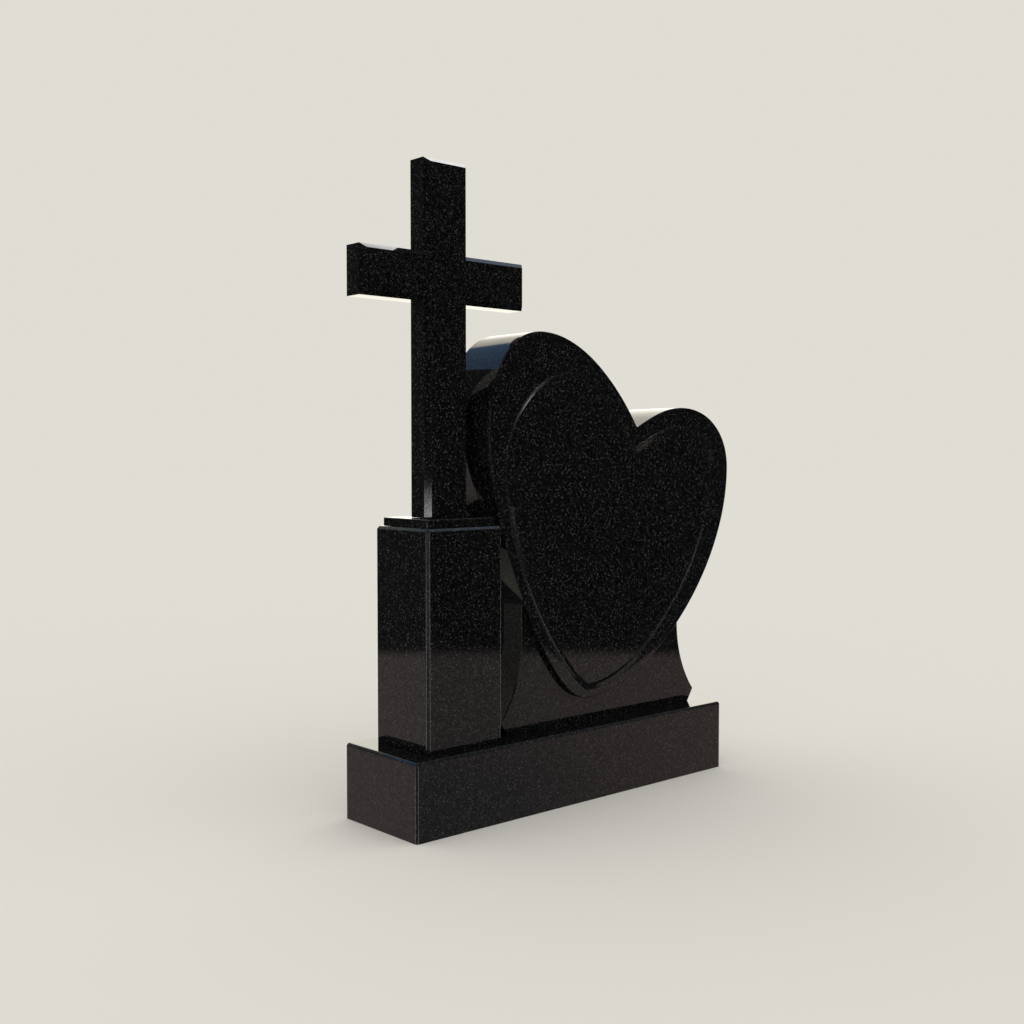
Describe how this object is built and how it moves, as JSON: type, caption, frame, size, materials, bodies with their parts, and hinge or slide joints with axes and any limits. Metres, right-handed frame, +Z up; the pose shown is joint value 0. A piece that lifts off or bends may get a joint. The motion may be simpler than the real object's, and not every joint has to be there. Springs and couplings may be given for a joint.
{
  "type": "cross memorial",
  "caption": "Polished black granite memorial: a bevelled cross on a square pillar beside a leaning heart headstone with a border groove, on one long base.",
  "frame": {"origin": "middle of the base's underside, on the ground", "axes": "+Z up, +X along the base to the right as seen from the front, -Y out of the front faces"},
  "size_m": [0.9986, 0.23, 1.2779],
  "materials": {
    "base_granite": "polished black granite with a fine light grain",
    "pillar_granite": "polished black granite with a fine light grain",
    "cap_plate_granite": "polished black granite with a fine light grain",
    "cross_granite": "polished black granite with a fine light grain",
    "headstone_granite": "polished black granite with a fine light grain"
  },
  "bodies": {
    "root": {"base": "base_granite", "pillar": "pillar_granite", "cap_plate": "cap_plate_granite", "cross": "cross_granite", "heart_headstone": "headstone_granite"}
  },
  "joints": []
}
